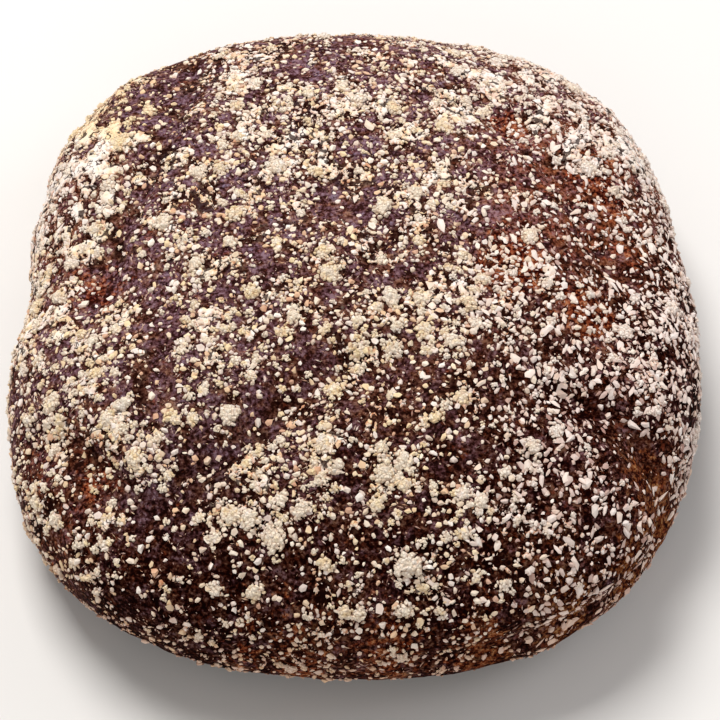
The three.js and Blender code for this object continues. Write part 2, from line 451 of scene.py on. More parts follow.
def creasesAt(points):  # how deep the creases cut, and how close each point is to one
    bent = bend(points, crustShape["wander"], 9, 31)
    drop, close = np.zeros((2, len(points)))
    for width, depth, line in creaseLines():
        cut = np.zeros(len(points))
        for share, spot in zip(np.linspace(0, 1, len(line)), line):
            fade = ease(min(share, 1 - share), 0, 0.25)
            cut = np.maximum(cut, fade * bell(length(bent - spot), width))
        drop += depth * cut
        close = np.maximum(close, cut)
    return drop, close


def crustHeight(points):  # how far the crust stands out from the form
    height = np.full(len(points), -crustShape["sunk"])
    for size, rise, seed in crustShape["waves"]:
        height += rise * waves(points, size, seed)
    near = nearestDot(points, crustShape["blisterSize"], 11)
    height += crustShape["blisterHeight"] * ease(0.5 - near, 0, 0.45) * ease(waves(points, 11, 13), 0, 0.5)
    drop, close = creasesAt(points)
    return height - drop, close


def soleMap(mesh):  # the sole lies by itself in a corner of the map
    sole = 0.93 + 0.065 * mesh["points"][:, :2] / max(halfWidth, halfDepth)
    under = (mesh["shares"][mesh["faces"]] > 1.0001).any(1)
    return np.where(under[:, None, None], sole[mesh["faces"]], mesh["flat"][mesh["faces"]])


def browningLow(points):  # the meal is browner low on the wall, and higher up it in front
    front = ease(-points[:, 1] / halfDepth, 0.4, 0.9)
    return ease(-points[:, 2], -26 - 26 * front, -8)


def pour(target, name, values, kind=np.float32):
    target.foreach_set(name, np.asarray(values, kind).ravel())


def makePiece(name, points, faces, corners, fields, finish, smooth=True):
    data = bpy.data.meshes.new(name)
    data.vertices.add(len(points))
    pour(data.vertices, "co", points / perMetre)
    data.loops.add(faces.size)
    pour(data.loops, "vertex_index", faces, np.int32)
    data.polygons.add(len(faces))
    pour(data.polygons, "loop_start", np.arange(0, faces.size, 3), np.int32)
    pour(data.polygons, "use_smooth", np.full(len(faces), smooth), bool)
    data.update(calc_edges=True)
    for field, values in fields.items():
        pour(data.attributes.new(field, "FLOAT", "POINT").data, "value", values)
    pour(data.uv_layers.new(name="OFBake").data, "uv", corners)
    data.materials.append(finish)
    piece = bpy.data.objects.new(name, data)
    bpy.context.scene.collection.objects.link(piece)
    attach(piece, "root")
    print(name, len(faces), "triangles")
    return piece


# x, y, reach, and how plum, russet and burnt the crust is there, and how olive its rust
crustTints = [
    (-50, 60, 36, 1, 0, 0, 0), (10, 80, 40, 0.65, 0.3, 0, 0), (-5, 20, 34, 0.85, 0.1, 0.05, 0),
    (45, 62, 20, 0.7, 0.4, 0, 0), (62, 30, 22, 0.3, 1, 0, 0), (88, 8, 22, 0.1, 0.9, 0.75, 0.1),
    (82, -24, 18, 0.1, 0.7, 1, 0.1), (-50, 90, 20, 0.3, 0.8, 0.4, 0), (-60, 10, 20, 0.9, 0.3, 0.05, 0),
    (-85, 20, 20, 0.3, 0.7, 0.1, 0), (-60, -30, 20, 0.7, 0.3, 0.3, 0), (0, -25, 30, 0.5, 0.3, 0.5, 0),
    (50, -32, 24, 0.2, 0.5, 0.8, 0.1), (63, -14, 12, 0, 1, 0.35, 0), (74, 14, 12, 0, 1, 0.4, 0),
    (0, -52, 24, 0.3, 0.4, 0.65, 0), (-47, -66, 14, 1, 0, 0.75, 0), (-52, -84, 16, 0.3, 0.5, 1, 0),
    (-30, -45, 13, 1, 0, 0.4, 0), (5, -80, 28, 0.3, 0.4, 1, 0.2), (60, -60, 24, 0.1, 0.7, 1, 0.7),
    (-80, -60, 14, 0.3, 0.8, 0.6, 0), (84, -58, 14, 0, 1, 0.4, 0.6), (0, -98, 14, 0.1, 0.9, 0.6, 0.3),
    (60, -90, 14, 0, 0.9, 0.7, 0.7),
]

# x, y, reach, and how rusty the crust is there
rustPatches = [
    (46, 50, 8, 0.85), (68, 36, 8, 0.9), (73, 26, 7, 0.7), (79, 12, 7, 0.5), (44, 1, 10, 1.15),
    (65, -12, 9, 0.95), (80, -38, 8, 0.25), (81, -55, 8, 0.75), (86, -62, 9, 1.05), (78, -77, 8, 1),
    (60, -90, 9, 0.8), (54, -83, 8, 0.4), (36, -99, 10, 0.8), (10, -101, 11, 0.6), (-15, -100, 10, 0.6),
    (-30, -98, 8, 0.4), (-74, -1, 8, 0.75), (-71, -59, 6, 0.7), (-80, -70, 8, 0.15), (-81, 17, 7, 0.25),
    (-90, -50, 7, 0.3),
]


def rustAt(points):
    flat = seenFlat(points)
    return np.max([much * nearTo(flat, x, y, reach) for x, y, reach, much in rustPatches], axis=0)


def buildCrust():
    mesh = ringMesh(crustShape["gap"], soleGap=crustShape["soleGap"])
    points = relax(mesh["points"], mesh["faces"], crustShape["relaxed"])
    normals = normalsOf(points, mesh["faces"])
    height, close = crustHeight(points)
    height *= mesh["shares"] <= 1
    cover, clump, caked, depth = mealLieAt(points, normals)
    points = points + normals * height[:, None]
    points[:, 2] = np.maximum(points[:, 2], 0)
    mesh["points"] = points
    # shade is painted shade: the crust darkened next to and under the cakes. crease also paints shade into
    # the creases.
    fields = {
        "cover": cover, "shade": ease(depth, -0.12, 0.03), "near": ease(depth, -0.4, -0.05),
        "crease": close, "sole": (mesh["shares"] > 1) * 1.0, "rust": rustAt(points),
        **dict(zip(("plum", "russet", "burnt", "olive"), drift(points, crustTints))),
    }
    piece = makePiece("crust", points, mesh["faces"], soleMap(mesh), fields, crustFinish())
    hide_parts("loaf")
    lie = {"cover": cover, "clump": clump, "loose": cover - caked, "depth": depth, "close": close}
    return {**mesh, **lie, "normals": normalsOf(points, mesh["faces"])}


cakeShape = {
    "gap": 0.5,
    "wallGap": 0.85,
    "relaxed": 14,  # rounds
    "stray": 0.2,  # share of the gap by which the mesh's points are strewn
    "granule": 1.4,
    "jagged": 0.3,
    "uneven": (0.7, 0.5),  # how freely granules stray, and how much less in clumps
    "reach": (0.68, 0.18),  # of a granule in its sizes, and how much more in clumps
    "thin": 0.35,
    "thick": 0.6,
    "dome": 0.1,
    "skirt": 0.2,
    "pitSize": 2.6,
    "pitReach": 0.75,  # in pit sizes, past which the skin opens
    "foot": 0.8,  # no cakes lower than this
}


def granulesAt(points, depth, uneven, size, seed):
    # Distances to the nearest granule that lies there and to the nearest that doesn't,
    # and the first one's tone.
    lying, missing = np.full((2, len(points)), 9.0)  # further than any granule
    tone = np.full(len(points), 0.5)
    for home, away in dotsNear(points, size, seed):
        there = depth + uneven * (randomAt(home, seed + 3) - 0.5) > 0
        tone = np.where(there & (away < lying), randomAt(home, seed + 4), tone)
        lying = np.where(there, np.minimum(lying, away), lying)
        missing = np.where(there, missing, np.minimum(missing, away))
    return lying, missing, tone


def turned(faces, first):  # the same triangles, each from another corner on
    return np.take_along_axis(faces, (first[:, None] + np.arange(3)) % 3, 1)


def trimAtZero(faces, field, extra):  # cuts a mesh along the line where the field is zero
    inside = field > 0
    number = inside[faces].sum(1)
    whole, one, two = (faces[number == k] for k in (3, 1, 2))
    one, two = turned(one, inside[one].argmax(1)), turned(two, inside[two].argmin(1))
    edges = np.concatenate([one[:, [0, 1]], one[:, [0, 2]], two[:, [1, 0]], two[:, [2, 0]]])  # inner, outer
    pairs, index = np.unique(edges, axis=0, return_inverse=True)
    index = index.ravel() + len(field)
    a, b = index[: len(one)], index[len(one) : 2 * len(one)]
    c, d = index[2 * len(one) :][: len(two)], index[2 * len(one) + len(two) :]
    cut = np.concatenate([
        whole,
        np.stack([one[:, 0], a, b], 1),
        np.stack([c, two[:, 1], two[:, 2]], 1),
        np.stack([c, two[:, 2], d], 1),
    ])
    inner, outer = pairs[:, 0], pairs[:, 1]
    share = np.clip(field[inner] / (field[inner] - field[outer]), 0.15, 0.85)
    used, cut = np.unique(cut, return_inverse=True)
    for name, values in extra.items():
        between = (values[inner].T * (1 - share) + values[outer].T * share).T
        extra[name] = np.concatenate([values, between])[used]
    return cut.reshape(-1, 3), extra, used >= len(field)


def strew(mesh, points, normals, amount):  # moves points a little along the skin
    push = rng.uniform(-1, 1, points.shape) * amount
    push -= normals * (push * normals).sum(1)[:, None]
    push[mesh["shares"] > 0.995] = 0  # the foot of the wall stays
    return points + push


def buildCakes():
    look = cakeShape
    mesh = ringMesh(look["gap"], look["wallGap"])
    points = relax(mesh["points"], mesh["faces"], look["relaxed"])
    normals = normalsOf(points, mesh["faces"])
    points = strew(mesh, points, normals, look["stray"] * look["gap"])
    base, close = crustHeight(points)
    _, clump, _, depth = mealLieAt(points, normals)
    depth = depth - 0.2 * close
    uneven = look["uneven"][0] - look["uneven"][1] * clump
    bent = bend(points, look["jagged"], 0.9, 51)
    lying, missing, tone = granulesAt(bent, depth, uneven, look["granule"], 54)
    reach = look["reach"][0] + look["reach"][1] * clump + 0.08 * ease(depth, 0, 0.35)
    pit = nearestDot(bent, look["pitSize"], 70)
    field = np.minimum(0.5 * (missing - lying), reach - lying) * look["granule"] - 0.08
    field = np.minimum(field, (look["pitReach"] - pit) * look["pitSize"])
    field -= 9 * (points[:, 2] < look["foot"])
    rise = look["thin"] + (look["thick"] - look["thin"]) * ease(depth, 0, 0.5)
    rise *= ease(field, -0.1, 0.4) ** 0.5
    rise += look["dome"] * (0.45 - lying) * ease(field, 0, 0.3)
    extra = {
        "base": points + normals * base[:, None], "normals": normals, "rise": rise, "flat": mesh["flat"],
        "knob": lying, "depth": depth, "tone": tone, "edge": ease(-field, -0.3, -0.02),
        "blush": drift(points, mealBlush)[0],
    }
    faces, cut, rim = trimAtZero(mesh["faces"], field, extra)
    rise = np.where(rim, -look["skirt"], cut["rise"])
    points = cut["base"] + cut["normals"] * rise[:, None]
    points[:, 2] = np.maximum(points[:, 2], offFloor)
    # nook and edge carry painted shade between granules and at the cakes' edges, partly browned meal
    fields = {
        "nook": ease(cut["knob"], 0.35, 0.8), "depth": np.clip(cut["depth"], 0, 1), "lowBrown": browningLow(points),
        **{name: cut[name] for name in ("edge", "tone", "blush")},
    }
    piece = makePiece("mealCakes", points, faces, cut["flat"][faces], fields, cakeFinish())
    return {"points": points, "faces": faces, "normals": normalsOf(points, faces), "rise": rise}


def icosahedron():
    shape = bmesh.new()
    bmesh.ops.create_icosphere(shape, subdivisions=1, radius=1)
    corners = np.array([vertex.co for vertex in shape.verts])
    faces = np.array([[vertex.index for vertex in face.verts] for face in shape.faces])
    shape.free()
    return corners, faces


def twoPyramids(sides):  # base to base
    turns = 2 * np.pi * np.arange(sides) / sides
    rim = np.stack([np.cos(turns), np.sin(turns), 0 * turns], 1)
    corners = np.concatenate([rim, [(0, 0, 1), (0, 0, -1)]])
    edges = [(k, (k + 1) % sides) for k in range(sides)]
    faces = [(*edge, sides) for edge in edges] + [(*edge[::-1], sides + 1) for edge in edges]
    return corners, np.array(faces)


def finer(corners, faces):  # each triangle split in four, with the new corners out on the unit ball
    edges = np.sort(faces[:, [[0, 1], [1, 2], [2, 0]]].reshape(-1, 2), axis=1)
    pairs, index = np.unique(edges, axis=0, return_inverse=True)
    middles = unit(corners[pairs].sum(1))
    (a, b, c), (ab, bc, ca) = faces.T, len(corners) + index.reshape(-1, 3).T
    split = [(a, ab, ca), (b, bc, ab), (c, ca, bc), (ab, bc, ca)]
    return np.concatenate([corners, middles]), np.concatenate([np.stack(three, 1) for three in split])


def spotsOn(mesh, weight, count):  # random spots on a mesh, more where the weight is greater
    corner = mesh["points"][mesh["faces"]]
    area = length(np.cross(corner[:, 1] - corner[:, 0], corner[:, 2] - corner[:, 0]))
    chance = np.cumsum(area * weight[mesh["faces"]].mean(1))
    face = np.searchsorted(chance, rng.random(count) * chance[-1])
    a, b = rng.random((2, count))
    fold = a + b > 1
    a, b = np.where(fold, 1 - a, a), np.where(fold, 1 - b, b)
    share = np.stack([1 - a - b, a, b], 1)[..., None]
    spots = (corner[face] * share).sum(1)
    normals = (mesh["normals"][mesh["faces"][face]] * share).sum(1)
    return spots, unit(normals)


def tangents(normals, turn):  # the directions along and across a thing that lies on the skin
    upright = np.where(np.abs(normals[:, 1:2]) > 0.9, (0, 0, 1), (0, 1, 0))
    side = unit(np.cross(upright, normals))
    ahead = np.cross(normals, side)
    along = np.cos(turn)[:, None] * side + np.sin(turn)[:, None] * ahead
    return along, np.cross(normals, along)


def scatter(
    name, spots, normals, sizes, tones, rims, form, finish,
    lift=0.14, rough=0.42, tilt=0.35, sway=2 * math.pi,
):
    corners, faces = form
    count = len(spots)
    # Each thing takes its roughness from its own place in the noise.
    place = corners[None] * sizes[:, None] / 2 + rng.random((count, 1, 3)) * 400
    grit = waves(place.reshape(-1, 3) / np.repeat(sizes[:, :1], len(corners), 0), 0.27, 64)
    shape = corners[None] * (1 + rough * grit.reshape(count, -1, 1))
    normals = unit(normals + tilt * rng.uniform(-1, 1, normals.shape))
    along, across = tangents(normals, math.pi / 2 + sway * (rng.random(count) - 0.5))
    local = shape * sizes[:, None] / 2
    local[..., 2] += (lift * sizes[:, 2])[:, None]
    ways = (along, across, normals)
    points = spots[:, None] + sum(local[..., k, None] * way[:, None] for k, way in enumerate(ways))
    points = points.reshape(-1, 3)
    points[:, 2] = np.maximum(points[:, 2], offFloor)
    everyFace = (faces[None] + len(corners) * np.arange(count)[:, None, None]).reshape(-1, 3)
    rows = math.ceil(math.sqrt(count))
    tile = np.stack([np.arange(count) % rows, np.arange(count) // rows], 1) + 0.5
    flat = (tile[:, None] + 0.3 * shape[..., :2]).reshape(-1, 2) / rows
    blush, dull = drift(spots, mealBlush)
    small = ease(-sizes[:, 0], -3 - 1.5 * dull, -1.8 - dull)
    dim = rng.random(count) ** (1.5 - 0.9 * dull) * small
    each = {"tone": tones, "blush": blush, "lowBrown": browningLow(spots), "dim": dim}
    fields = {field: np.repeat(values, len(corners)) for field, values in each.items()}
    # nook (dents in each piece) and low (its underside) carry painted shade, partly browned meal
    fields["nook"] = ease(-grit, -0.2, 0.7)
    fields["low"] = (rims * np.ones(count))[:, None] * ease(-corners[None, :, 2], -0.5, 0.3)
    piece = makePiece(name, points, everyFace, flat[everyFace], fields, finish, smooth=False)


def spacedSpots(mesh, count, weight, room):  # spots kept apart, so that they don't pile up
    spots, normals = spotsOn(mesh, weight, count * 3)  # enough to choose from
    taken = {}
    kept = []
    homes = np.floor(spots / room).astype(int).tolist()
    places = spots.tolist()
    for index, (i, j, k) in enumerate(homes):
        near = (taken.get((i + a, j + b, k + c)) for a, b, c in product((-1, 0, 1), repeat=3))
        if all(other is None or math.dist(other, places[index]) > room for other in near):
            taken[i, j, k] = places[index]
            kept.append(index)
        if len(kept) == count:
            break
    return spots[kept], normals[kept]


def sizesBetween(count, span, slimness, flatness):  # more small ones than large
    wide = span[0] + (span[1] - span[0]) * rng.random(count) ** 1.8
    return np.stack([wide, wide * rng.uniform(*slimness, count), wide * rng.uniform(*flatness, count)], 1)


# x, y, length, width, height and turn of the lumps that catch the eye
standingLumps = {
    "crownOval": (8, 17.5, 9.4, 7, 3.4, 75),
    "crownPale": (38, 56, 6.5, 5, 2.4, 20),
    "brainy": (14.5, -84, 11.5, 9, 3.8, 15),
    "frontPairLeft": (-28, -73, 8.2, 7, 3, 120),
    "frontPairRight": (-23, -77, 7.2, 6, 2.8, 40),
    "frontUpright": (7, -56, 6.8, 4.8, 2.8, 85),
    "frontStar": (13, -92, 6.6, 5.8, 2.6, 10),
    "leftSlab": (-84, -36, 9, 6.5, 2.2, 30),
    "leftShoulder": (-84, -2, 8, 6.5, 2.4, 95),
    "leftLow": (-60, -55, 8.6, 6.4, 2.8, 60),
    "backLeft": (-55, 15, 8.4, 6.6, 2.6, 35),
    "rightCrown": (27, -25, 8.4, 6.4, 2.6, 140),
    "rightFlake": (75, -16, 9, 6, 2.2, 160),
    "frontRight": (55, -49, 6.8, 5.4, 2.6, 70),
    "middleLeft": (-44, -47, 5.6, 4.6, 2.4, 0),
    "crownLeft": (-9, 2, 8, 6, 2.4, 100),
    "frontMiddle": (-14, -72, 7.5, 5.5, 2.6, 60),
    "frontTall": (5, -70, 7.5, 4.6, 2.6, 85),
    "frontLow": (-27, -88, 7, 5.6, 2.4, 20),
    "frontEdgeLeft": (-38, -87, 6.5, 5, 2.2, 100),
    "frontEdge": (-8, -84, 6.5, 5, 2.4, 150),
    "frontEdgeRight": (1, -93, 7, 5, 2.4, 30),
}

lumpShape = {
    "bigCount": 215,
    "bigSize": (4.2, 9.0),
    "bigRoom": 5.4,
    "smallCount": 1050,
    "smallSize": (1.8, 3.7),
    "smallRoom": 2.8,
    "granule": 1.7,
    "spacing": 0.62,  # in granules
    "spread": 0.88,  # of the granules, as a share of the lump
    "ragged": 0.26,
    "petals": 0.34,
    "goldenAngle": 2.39996,  # in radians, as between a sunflower's seeds
}


def anyTurn(count):
    return rng.random(count) * 2 * np.pi


def joined(*pairs):  # first arrays with first, second with second
    return (np.concatenate(lists) for lists in zip(*pairs))


def clustered(spots, normals, sizes, turn):  # the granules that lumps are pressed together from
    look = lumpShape
    granule = look["granule"] * (0.65 + 0.07 * sizes[:, 0])  # coarser in a larger lump
    area = math.pi / 4 * sizes[:, 0] * sizes[:, 1]
    number = np.maximum(3, np.round(area / (look["spacing"] * granule) ** 2)).astype(int)
    lump = np.repeat(np.arange(len(spots)), number)
    order = np.arange(len(lump)) - np.repeat(np.cumsum(number) - number, number)
    out = np.sqrt((order + 0.5) / number[lump])
    heading = order * look["goldenAngle"] + anyTurn(len(spots))[lump]
    petals = rng.integers(3, 6, len(spots))[lump]
    phase = anyTurn(len(spots))[lump]
    ragged = look["ragged"] * rng.uniform(-1, 1, len(lump))
    ragged += look["petals"] * np.cos(petals * heading + phase)
    ragged = look["spread"] * (1 + ragged * out)
    x, y = out * np.cos(heading) * ragged, out * np.sin(heading) * ragged
    along, across = tangents(normals, turn)
    outward = along[lump] * x[:, None] + across[lump] * y[:, None]
    half = sizes[lump] / 2
    crown = np.sqrt(np.clip(1 - out * out, 0, 1)) * rng.uniform(0.88, 1.06, len(lump))
    centres = spots[lump] + along[lump] * (x * half[:, 0])[:, None]
    centres += across[lump] * (y * half[:, 1])[:, None]
    centres += normals[lump] * ((crown * 0.8 - 0.1) * half[:, 2])[:, None]
    lean = normals[lump] + 0.7 * outward
    wide = granule[lump] * (1.3 - 0.6 * out) * rng.uniform(0.75, 1.25, len(lump))
    slim = rng.uniform(0.6, 1, len(lump))
    thick = rng.uniform(0.5, 0.8, len(lump))
    granules = np.stack([wide, wide * slim, wide * thick], 1)
    tones = rng.uniform(0.05, 0.6, len(spots))[lump] + rng.uniform(-0.15, 0.15, len(lump))
    # the last value sets how much painted shade the undersides get, more at a lump's rim
    return centres, unit(lean), granules, np.clip(tones, 0, 1), 0.3 + out ** 2


def buildLumps(crust):
    look, finish = lumpShape, lumpFinish()
    named = np.array(list(standingLumps.values()))
    flat = named[:, :2] * (halfWidth / 100, halfDepth / 100)
    up = np.where(crust["normals"][:, 2] > 0, 0, 1e3)
    nearest = [np.argmin(length(crust["points"][:, :2] - spot) + up) for spot in flat]
    gathered = crust["cover"] ** 1.7 * (0.1 + crust["clump"]) * (1 - 0.5 * crust["close"])
    weight = gathered * (crust["loose"] / crust["cover"]) ** 1.5
    away = np.min([length(crust["points"][:, :2] - spot) for spot in flat], axis=0)
    weight *= 0.1 + 0.9 * ease(away, 3, 8)  # the standing lumps stand free
    spots, normals = spacedSpots(crust, look["bigCount"], weight, look["bigRoom"])
    sizes = sizesBetween(len(spots), look["bigSize"], (0.5, 0.95), (0.24, 0.38))
    standing = (crust["points"][nearest], crust["normals"][nearest], named[:, 2:5], np.radians(named[:, 5]))
    lumps = clustered(*joined(standing, (spots, normals, sizes, anyTurn(len(spots)))))
    scatter("mealLumps", *lumps, finer(*twoPyramids(4)), finish, lift=0, rough=0.45, tilt=0.2)
    spots, normals = spacedSpots(crust, look["smallCount"], weight, look["smallRoom"])
    sizes = sizesBetween(len(spots), look["smallSize"], (0.5, 1), (0.4, 0.6))
    crumbs = clustered(spots, normals, sizes, anyTurn(len(spots)))
    scatter("mealCrumbs", *crumbs, icosahedron(), finish, lift=0.1)


grainShape = {
    "onCrust": 5400,
    "onCakes": 400,
    "size": (1.3, 2.8),
    "room": 1.25,
    "flakes": 2000,
    "flakeSize": (1.3, 4.3),
    "flakeRoom": 1.4,
    "specksOnCrust": 13000,
    "specksOnCakes": 600,
    "speckSize": (0.5, 1.3),
    "slivers": 0.5,  # share of the specks that are long and thin
}


def buildGrains(crust, cakes):
    look = grainShape
    standing = (1 - 0.35 * crust["close"]) * (crust["points"][:, 2] > 1)
    outside = ease(-crust["depth"], -0.03, 0.06)
    onTop = (cakes["rise"] > 0.15) * 1.0
    blush, dull = drift(crust["points"], mealBlush)
    blush = np.maximum(blush, 0)
    standing *= 0.25 + 0.75 * ease(crust["cover"], 0.01, 0.07)
    weight = (crust["loose"] + 0.1 * dull) * blush ** 3 * standing
    spots, normals = spacedSpots(crust, look["flakes"], weight, look["flakeRoom"])
    sizes = sizesBetween(len(spots), look["flakeSize"], (0.35, 0.72), (0.14, 0.28))
    flakes = (spots, normals, sizes, rng.uniform(0.4, 1, len(spots)), 0.5)
    flaky = grainFinish("mealFlake", 0.95)
    scatter("mealFlakes", *flakes, twoPyramids(6), flaky, lift=0.3, rough=0.7, tilt=0.4, sway=2)
    gathered = 0.25 + 1.2 * ease(crust["depth"], -0.45, -0.05)
    strewn = 0.025 + crust["loose"] * (1 - 0.9 * crust["clump"]) * (1 - 0.75 * blush) * gathered
    onSkin = spacedSpots(crust, look["onCrust"], strewn * outside * standing, look["room"])
    spots, normals = joined(onSkin, spotsOn(cakes, onTop, look["onCakes"]))
    sizes = sizesBetween(len(spots), look["size"], (0.55, 0.95), (0.35, 0.65))
    grains = (spots, normals, sizes, rng.random(len(spots)), 1)
    scatter("mealGrains", *grains, icosahedron(), grainFinish("mealGrain", 0.45), rough=0.65)
    strewn = (0.1 + crust["cover"]) * (0.3 + 0.7 * outside)
    onSkin = spotsOn(crust, strewn * standing, look["specksOnCrust"])
    spots, normals = joined(onSkin, spotsOn(cakes, onTop, look["specksOnCakes"]))
    sizes = sizesBetween(len(spots), look["speckSize"], (0.35, 0.9), (0.4, 0.75))
    sizes[rng.random(len(sizes)) < look["slivers"]] *= (1.8, 0.6, 0.8)
    specks = (spots, normals, sizes, rng.random(len(spots)), 1)
    scatter("mealSpecks", *specks, twoPyramids(4), grainFinish("mealSpeck", 1))


class Wire:  # an output socket that sums can be written on
    def __init__(self, shop, socket):
        self.shop, self.socket = shop, socket

    def sum(self, operation, first, second):
        return self.shop.add("Math", {"operation": operation}, {0: first, 1: second})

    def __add__(self, other):
        return self.sum("ADD", self, other)

    def __sub__(self, other):
        return self.sum("SUBTRACT", self, other)

    def __rsub__(self, other):
        return self.sum("SUBTRACT", other, self)

    def __mul__(self, other):
        return self.sum("MULTIPLY", self, other)

    __radd__ = __add__
    __rmul__ = __mul__

    def step(self, start, end):  # 0 before start and 1 after end
        return self.shop.add("MapRange", {"interpolation_type": "SMOOTHSTEP"}, {0: self, 1: start, 2: end})


class Finish:
    def __init__(self, name):
        self.material = bpy.data.materials.new(name)
        self.material.use_nodes = True
        self.tree = self.material.node_tree
        self.shader = self.tree.nodes["Principled BSDF"]

    def add(self, kind, settings=None, values=None, out=0):
        node = self.tree.nodes.new("ShaderNode" + kind)
        for name, value in (settings or {}).items():
            setattr(node, name, value)
        for name, value in (values or {}).items():
            self.put(node.inputs[name], value)
        return Wire(self, node.outputs[out])

    def put(self, socket, value):
        if isinstance(value, Wire):
            self.tree.links.new(value.socket, socket)
        else:
            socket.default_value = value

    def field(self, name):
        return self.add("Attribute", {"attribute_name": name}, out="Fac")

    def texture(self, kind, size, out, settings=None, **more):  # size in millimetres
        place = self.add("TexCoord", out="Object")
        return self.add("Tex" + kind, settings, {"Vector": place, "Scale": perMetre / size, **more}, out)

    def noise(self, size, detail=2, rough=0.5):
        return self.texture("Noise", size, "Fac", Detail=detail, Roughness=rough)

    def dots(self, size, out="Distance", feature="F1"):
        return self.texture("Voronoi", size, out, {"feature": feature})

    def seams(self, size):  # the distance to the lines between cells
        return self.dots(size, "Distance", "DISTANCE_TO_EDGE")

    def mix(self, share, first, second):
        values = {0: share}
        for index, colour in ((6, first), (7, second)):
            values[index] = colour if isinstance(colour, Wire) else (*colour, 1)
        return self.add("Mix", {"data_type": "RGBA"}, values, 2)

    def layers(self, colour, *coats):
        for share, tone in coats:
            colour = self.mix(share, colour, tone)
        return colour

    def tint(self, colour, by):
        settings = {"data_type": "RGBA", "blend_type": "MULTIPLY"}
        return self.add("Mix", settings, {0: 1, 6: colour, 7: by}, 2)

    def bump(self, height, depth):  # depth in millimetres
        return self.add("Bump", {}, {"Height": height, "Distance": depth / perMetre, "Strength": 1})

    def wear(self, **sockets):
        for name, value in sockets.items():
            socket = self.shader.inputs[name.replace("_", " ")]
            self.put(socket, (*value, 1) if isinstance(value, tuple) else value)
        return self.material


# Four tones each, from the gaps between the skin's plates up to their dusty tops. The dark gap tones are
# partly painted shade in the bump's hollows, and the greyish tops partly painted sheen.
crustLook = {
    "plum": ((0.032, 0.009, 0.006), (0.1, 0.038, 0.034), (0.17, 0.083, 0.082), (0.28, 0.17, 0.165)),
    "russet": ((0.02, 0.0025, 0.001), (0.1, 0.026, 0.013), (0.21, 0.068, 0.04), (0.35, 0.155, 0.11)),
    "burnt": ((0.004, 0.0004, 0.0003), (0.014, 0.002, 0.001), (0.041, 0.0125, 0.0095), (0.11, 0.058, 0.052)),
    "rust": ((0.022, 0.0017, 0.001), (0.122, 0.02, 0.008), (0.27, 0.067, 0.024), (0.46, 0.175, 0.08)),
    # where on the grit each tone gives way to the next
    "rungs": ((0.37, 0.43), (0.48, 0.54), (0.62, 0.69)),
    "brown": (1.1, 0.96, 0.66),
    "violet": (0.94, 0.98, 1.28),
    "slate": (0.78, 1.1, 1.3),
    "olive": (0.64, 0.95, 0.66),
    # near-black painted shade, laid next to and under the cakes, in the creases and in the pocks
    "gap": (0.007, 0.001, 0.0007),
    "amber": (0.42, 0.085, 0.035),
    "meal": (0.8, 0.68, 0.56),
    "sole": (0.12, 0.055, 0.024),
    "plates": 1.7,  # sizes in millimetres
    "pocks": 0.95,
    "specks": 1.1,
}


def ladder(skin, height, name):
    lowest, *tones = crustLook[name]
    rungs = (height.step(*rung) for rung in crustLook["rungs"])
    return skin.layers(lowest, *zip(rungs, tones))


def crustFinish():
    look, skin = crustLook, Finish("bakedCrust")
    cover, crease, shade = skin.field("cover"), skin.field("crease"), skin.field("shade")
    plum, russet, burnt = skin.field("plum"), skin.field("russet"), skin.field("burnt")
    patch, blot = skin.noise(6, 4, 0.6), skin.noise(4.5, 4, 0.6)
    plate, pocks, specks = (look[name] for name in ("plates", "pocks", "specks"))
    fine = skin.noise(1.2, 2, 0.6)
    # grit shares its fine noise with the bump, so the crust is painted darker in the bump's hollows
    grit = fine * 1.35 + skin.dots(plate, "Color") * 0.14 + patch * 0.7 - 0.6
    # pocks: small pits painted near-black as painted shade, with a matching dent in the bump
    pock = (0.3 - skin.dots(pocks)).step(0, 0.06) * (skin.dots(pocks, "Color") - 0.55).step(0, 0.1)
    ruddy = russet * (1.3 - plum).step(0.2, 1.0) * patch.step(0.3, 0.58)
    colour = skin.mix(ruddy, ladder(skin, grit, "plum"), ladder(skin, grit, "russet"))
    colour = skin.mix(burnt * (1.12 - 0.5 * blot.step(0.5, 0.7)), colour, ladder(skin, grit, "burnt"))
    hue = skin.noise(4.5, 3, 0.65) * 4 + plum * 0.4 - skin.field("near") * 0.6 - burnt * 0.2 - 1.5
    colour = skin.tint(colour, skin.mix(hue.step(0, 1), look["brown"], look["violet"]))
    slate = skin.noise(3.2, 3, 0.6).step(0.55, 0.63) * plum * (1 - burnt)
    colour = skin.tint(colour, skin.mix(slate * 0.7, (1, 1, 1), look["slate"]))
    rusty = (skin.field("rust") + skin.noise(2.6, 3, 0.6) * 2.2 - 1.1).step(0.3, 0.7)
    olive = skin.mix(skin.field("olive"), (1, 1, 1), look["olive"])
    colour = skin.mix(rusty * 0.85, colour, skin.tint(ladder(skin, grit, "rust"), olive))
    ember = (skin.noise(2.2, 3, 0.6) + 0.05 * russet).step(0.63, 0.7) * (0.3 + 0.7 * russet)
    chance = skin.dots(specks, "Color")
    speck = (0.3 - skin.dots(specks)).step(0, 0.07) * ((cover * 0.3 + 0.02) - chance).step(0, 0.05)
    colour = skin.layers(
        colour,
        (ember * (0.5 - 0.35 * burnt), look["amber"]),
        # painted shade: next to and under the cakes, in the creases and in the pocks
        (shade * 0.75 + crease * 0.12 + pock * 0.7, look["gap"]),
        (speck, look["meal"]),
        (skin.field("sole") * 0.8, look["sole"]),
    )
    height = fine * 1.1 + speck * 0.4 - skin.dots(plate) * 0.5 - pock * 0.5
    return skin.wear(
        Base_Color=colour,
        Roughness=0.55 + 0.25 * fine,
        Normal=skin.bump(height, 0.7),
        Specular_IOR_Level=0.01,
        Coat_Weight=plum * (1 - shade) * grit.step(0.45, 0.6) * 0.04,
        Coat_Roughness=0.42,
    )


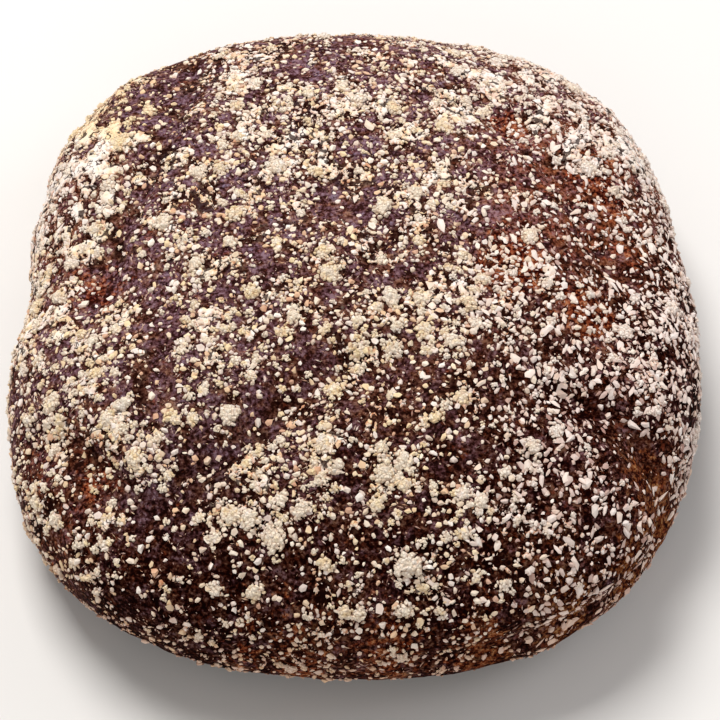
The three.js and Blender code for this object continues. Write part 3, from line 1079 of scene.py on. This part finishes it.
mealLook = {
    "cream": (0.93, 0.83, 0.675),
    "pale": (0.95, 0.89, 0.82),
    "straw": (0.92, 0.75, 0.46),
    "blush": (0.9, 0.825, 0.8),
    # tan is partly the meal's browned edges and partly painted shade in its nooks, seams and undersides
    "tan": (0.55, 0.23, 0.11),
    "lowBrown": (0.75, 0.46, 0.3),
    # the dark crust seen in the cakes' cracks and pits, darkened as painted shade
    "gap": (0.03, 0.008, 0.005),
    "dusk": (0.4, 0.22, 0.18),
    "rough": 0.92,
    "shine": 0.2,
}


def mealColour(skin, tone, nook):
    look, blush = mealLook, skin.field("blush")
    return skin.layers(
        look["lowBrown"],
        (tone.step(0, 0.16), look["straw"]),
        (tone.step(0.15, 0.45), look["cream"]),
        (tone.step(0.5, 0.85), look["pale"]),
        ((0 - blush).step(0, 0.35) * 0.7, look["straw"]),
        (blush.step(0, 1) * 0.75, look["blush"]),
        (skin.field("lowBrown") * 0.7, look["lowBrown"]),
        # the nook share paints shade into hollows, seams and undersides, partly browned meal too
        (nook, look["tan"]),
    )


def dryFinish(skin, colour, height, depth):
    return skin.wear(
        Base_Color=colour,
        Roughness=mealLook["rough"],
        Normal=skin.bump(height, depth),
        Specular_IOR_Level=mealLook["shine"],
    )


def cakeFinish():
    skin = Finish("mealCake")
    nook, edge, depth = skin.field("nook"), skin.field("edge"), skin.field("depth")
    tone = skin.field("tone") * 0.35 + skin.noise(5, 2) * 3 - 1.1
    crack = (0.08 - skin.seams(1.8)).step(0, 0.04) * skin.noise(2.4, 2).step(0.51, 0.58)
    pit = (skin.dots(2.3) - 0.68).step(0, 0.05) * skin.noise(4, 2).step(0.34, 0.42)
    # outline and edge tan the seams between granules and the cakes' edges: partly thin browned meal, partly
    # painted shade
    outline = (0.16 - skin.seams(1.6)).step(0, 0.12) * (0.55 - 1.1 * depth)
    colour = mealColour(skin, tone, nook * 0.15 + edge * (0.4 - 0.2 * depth) + outline.step(0, 1))
    # cracks and pits show dark crust, painted darker as shade
    colour = skin.mix(crack * (0.9 - 0.4 * depth) + pit * 0.9, colour, mealLook["gap"])
    height = skin.noise(0.7, 3, 0.6) * 0.3 - skin.dots(2.3) * 0.5 - crack * 0.4 - pit * 0.8
    return dryFinish(skin, colour, height, 0.5)


def lumpFinish():
    skin = Finish("mealLump")
    tone = skin.field("tone") * 0.7 + skin.noise(2.5, 2) * 0.8 - 0.2
    # crinkle, nook and low paint shade into the seams, dents and undersides, partly browned meal
    crinkle = (0.12 - skin.seams(1.1)).step(0, 0.1)
    colour = mealColour(skin, tone, skin.field("nook") * 0.28 + skin.field("low") * 0.5 + crinkle * 0.1)
    height = skin.noise(0.8, 3, 0.6) * 0.5 - crinkle * 0.5
    return dryFinish(skin, colour, height, 0.4)


def grainFinish(name, dull):
    skin = Finish(name)
    # nook and low paint shade into dents and undersides, partly browned meal
    colour = mealColour(skin, skin.field("tone"), skin.field("nook") * 0.3 + skin.field("low") * 0.65)
    colour = skin.mix(skin.field("dim") * dull, colour, mealLook["dusk"])
    return skin.wear(Base_Color=colour, Roughness=0.9, Specular_IOR_Level=mealLook["shine"])


buildStudio()
form = readForm()
crust = buildCrust()
cakes = buildCakes()
buildLumps(crust)
buildGrains(crust, cakes)
